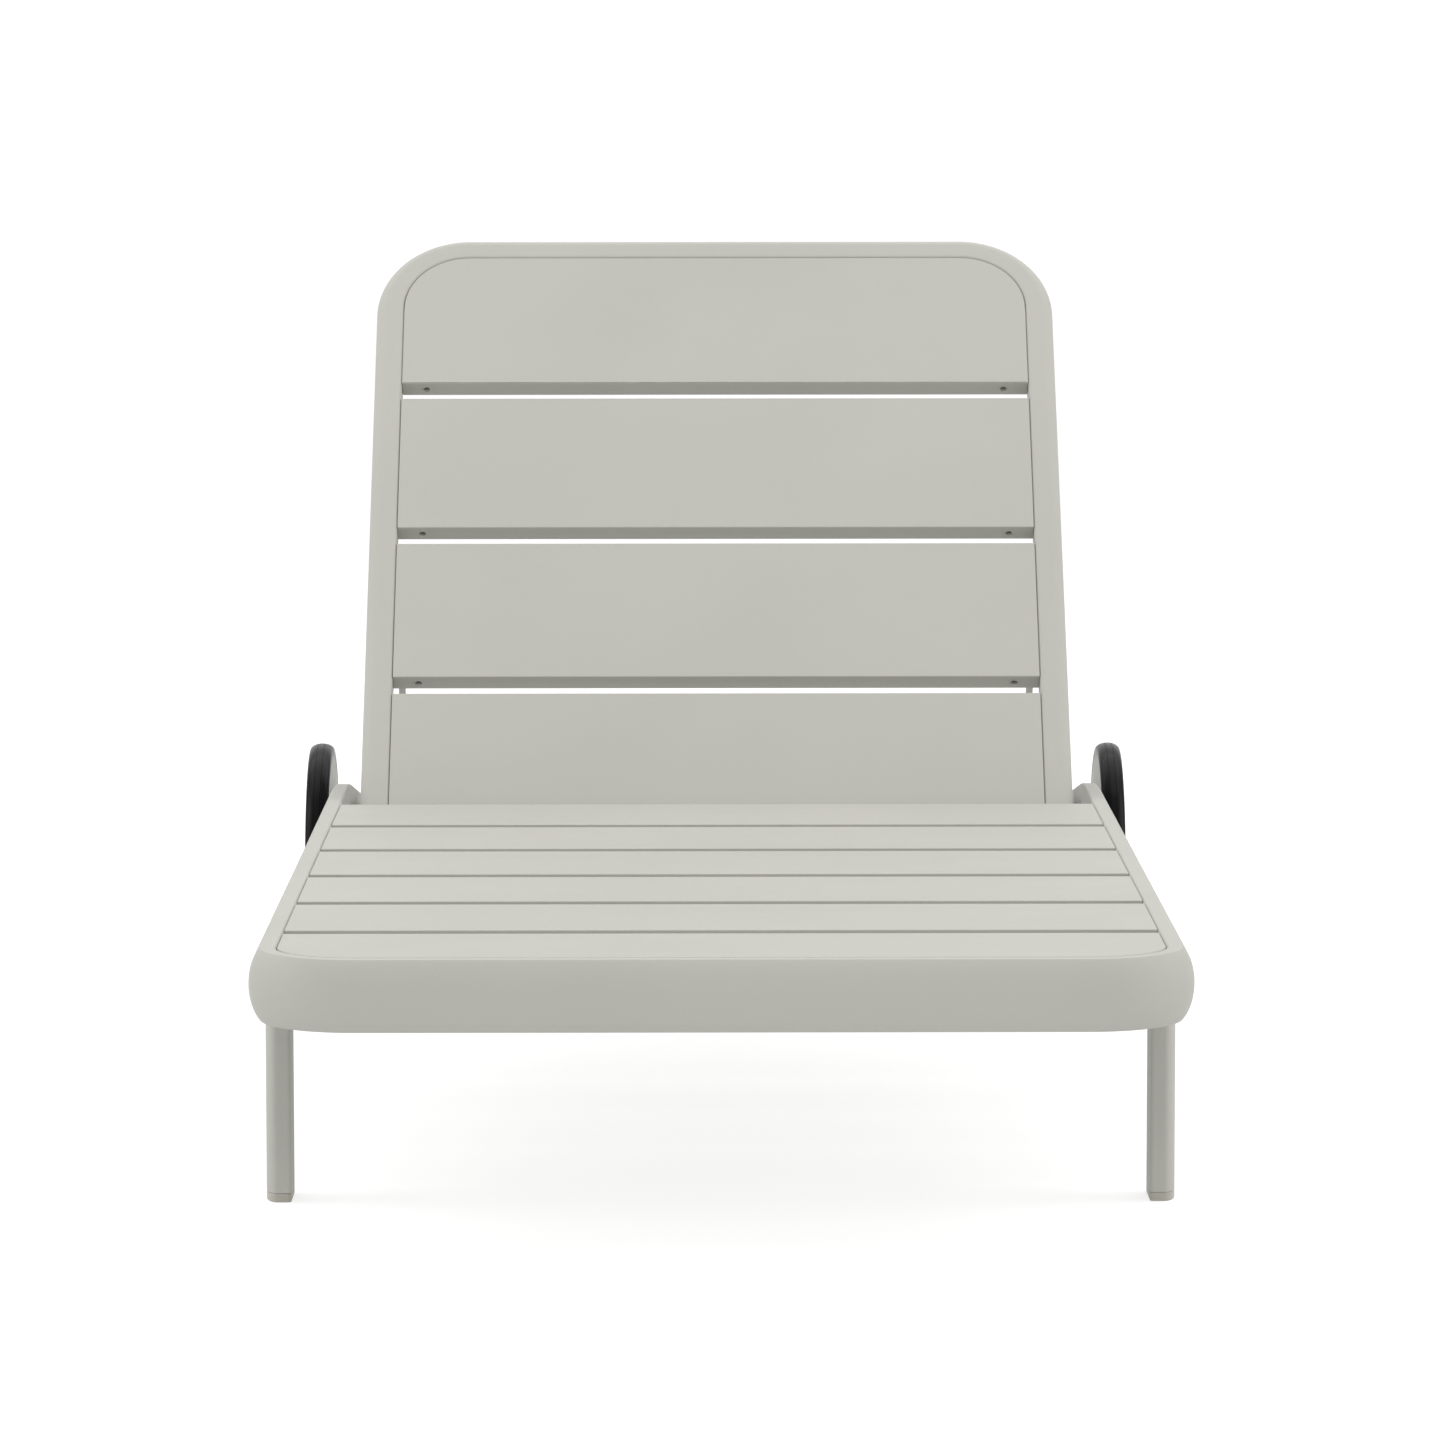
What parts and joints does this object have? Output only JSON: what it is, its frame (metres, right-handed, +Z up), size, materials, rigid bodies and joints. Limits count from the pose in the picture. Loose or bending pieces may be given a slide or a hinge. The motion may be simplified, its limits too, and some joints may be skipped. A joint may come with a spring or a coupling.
{
  "type": "reclining sun lounger",
  "caption": "Garden sun lounger with a slatted metal seat, a slatted back that reclines on a notched stay, fixed front legs and rear transport wheels.",
  "frame": {"origin": "on the floor, midway between the two sides and midway between the front bar's nose and the wheels' rear", "axes": "+X across the lounger to the right as seen from the foot end, +Y from the foot end to the head end, +Z up"},
  "size_m": [0.862, 1.7424, 0.7777],
  "materials": {
    "frame_paint": "fine-textured greige powder coat, satin",
    "bare_aluminium": "mill finish",
    "painted_eyelet": "greige painted rim",
    "steel": "stainless, fine brushed",
    "taupe_plastic": "moulded taupe plastic, matt",
    "black_nylon": "moulded black nylon, matt",
    "tyre_rubber": "black rubber with a soft sheen"
  },
  "bodies": {
    "main_frame": {"front_bar": "frame_paint", "left_rail": "frame_paint", "right_rail": "frame_paint", "seat_slat_1": "frame_paint", "seat_slat_2": "frame_paint", "seat_slat_3": "frame_paint", "seat_slat_4": "frame_paint", "seat_slat_5": "frame_paint", "seat_slat_6": "frame_paint", "seat_slat_tabs": "bare_aluminium", "seat_slat_eyelets": "painted_eyelet", "hinge_cross_tube": "frame_paint", "left_front_leg": "frame_paint", "right_front_leg": "frame_paint", "left_foot_cap": "taupe_plastic", "right_foot_cap": "taupe_plastic", "left_side_plate": "frame_paint", "right_side_plate": "frame_paint", "left_back_stop": "frame_paint", "right_back_stop": "frame_paint", "stop_pads": "black_nylon", "left_pivot_pin": "steel", "right_pivot_pin": "steel", "pivot_spacers": "black_nylon", "pivot_nuts": "steel", "left_rail_cap": "taupe_plastic", "right_rail_cap": "taupe_plastic", "axle": "steel", "axle_tube": "frame_paint", "axle_sleeves": "black_nylon", "axle_caps": "black_nylon"},
    "back": {"back_top_bar": "frame_paint", "left_back_rail": "frame_paint", "right_back_rail": "frame_paint", "back_slat_1": "frame_paint", "back_slat_2": "frame_paint", "back_slat_3": "frame_paint", "back_slat_4": "frame_paint", "back_slat_tabs": "bare_aluminium", "back_slat_eyelets": "painted_eyelet", "left_pivot_block": "black_nylon", "right_pivot_block": "black_nylon", "left_stay_lug": "frame_paint", "right_stay_lug": "frame_paint", "stay_pins": "steel"},
    "stay": {"left_stay_arm": "frame_paint", "right_stay_arm": "frame_paint", "stay_rod": "steel"},
    "wheel_left": {"left_tyre": "tyre_rubber", "left_wheel_disc": "frame_paint", "left_wheel_cover": "frame_paint", "left_wheel_bush": "black_nylon"},
    "wheel_right": {"right_tyre": "tyre_rubber", "right_wheel_disc": "frame_paint", "right_wheel_cover": "frame_paint", "right_wheel_bush": "black_nylon"}
  },
  "joints": [
    {"name": "back_recline", "type": "hinge", "parent": "main_frame", "child": "back", "pos_m": [0, 0.25625, 0.23], "axis": [1, 0, 0], "range_deg": [-48, 17]},
    {"name": "stay_fold", "type": "hinge", "parent": "back", "child": "stay", "pos_m": [0, 0.4317, 0.39497], "axis": [1, 0, 0], "range_deg": [-34, 96]},
    {"name": "left_wheel_spin", "type": "hinge", "parent": "main_frame", "child": "wheel_left", "pos_m": [0, 0.74625, 0.125], "axis": [1, 0, 0], "continuous": true},
    {"name": "right_wheel_spin", "type": "hinge", "parent": "main_frame", "child": "wheel_right", "pos_m": [0, 0.74625, 0.125], "axis": [1, 0, 0], "continuous": true}
  ],
  "couplings": [
    {"joint": "stay_fold", "follows": "back_recline", "ratio": -2}
  ]
}
